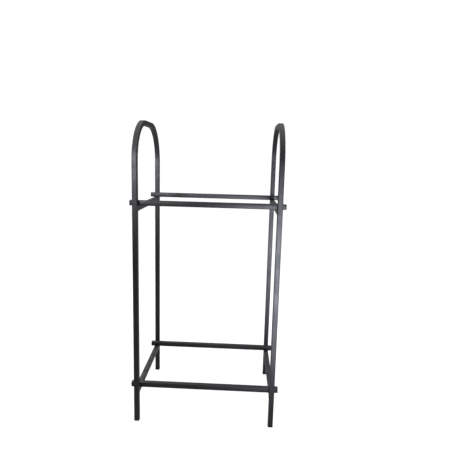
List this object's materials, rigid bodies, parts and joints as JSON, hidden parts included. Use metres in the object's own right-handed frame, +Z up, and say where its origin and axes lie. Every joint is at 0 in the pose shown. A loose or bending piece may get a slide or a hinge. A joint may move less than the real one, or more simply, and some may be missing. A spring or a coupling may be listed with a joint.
{
  "type": "tyre storage rack",
  "caption": "Free-standing two-tier tyre rack with bent square-tube side frames and bolted cross beams.",
  "frame": {"origin": "on the floor, below the middle of the rack", "axes": "+Z up; the open front, where tyres go in, faces -Y; +X to the right seen from the front"},
  "size_m": [0.5906, 0.43, 1.2],
  "materials": {
    "powder_coat": "satin blue-black powder coat, fine orange peel",
    "cap_plastic": "black moulded plastic, fine grain",
    "zinc": "bright zinc plated"
  },
  "bodies": {
    "root": {"left_hoop": "powder_coat", "left_lower_rail": "powder_coat", "left_upper_rail": "powder_coat", "left_front_foot": "cap_plastic", "left_rear_foot": "cap_plastic", "right_hoop": "powder_coat", "right_lower_rail": "powder_coat", "right_upper_rail": "powder_coat", "right_front_foot": "cap_plastic", "right_rear_foot": "cap_plastic", "lower_front_beam": "powder_coat", "lower_front_beam_cap_left": "cap_plastic", "lower_front_left_bolt": "zinc", "lower_front_left_washer": "zinc", "lower_front_left_rivet_nut": "zinc", "lower_front_beam_cap_right": "cap_plastic", "lower_front_right_bolt": "zinc", "lower_front_right_washer": "zinc", "lower_front_right_rivet_nut": "zinc", "lower_rear_beam": "powder_coat", "lower_rear_beam_cap_left": "cap_plastic", "lower_rear_left_bolt": "zinc", "lower_rear_left_washer": "zinc", "lower_rear_left_rivet_nut": "zinc", "lower_rear_beam_cap_right": "cap_plastic", "lower_rear_right_bolt": "zinc", "lower_rear_right_washer": "zinc", "lower_rear_right_rivet_nut": "zinc", "upper_front_beam": "powder_coat", "upper_front_beam_cap_left": "cap_plastic", "upper_front_left_bolt": "zinc", "upper_front_left_washer": "zinc", "upper_front_left_rivet_nut": "zinc", "upper_front_beam_cap_right": "cap_plastic", "upper_front_right_bolt": "zinc", "upper_front_right_washer": "zinc", "upper_front_right_rivet_nut": "zinc", "upper_rear_beam": "powder_coat", "upper_rear_beam_cap_left": "cap_plastic", "upper_rear_left_bolt": "zinc", "upper_rear_left_washer": "zinc", "upper_rear_left_rivet_nut": "zinc", "upper_rear_beam_cap_right": "cap_plastic", "upper_rear_right_bolt": "zinc", "upper_rear_right_washer": "zinc", "upper_rear_right_rivet_nut": "zinc"}
  },
  "joints": []
}
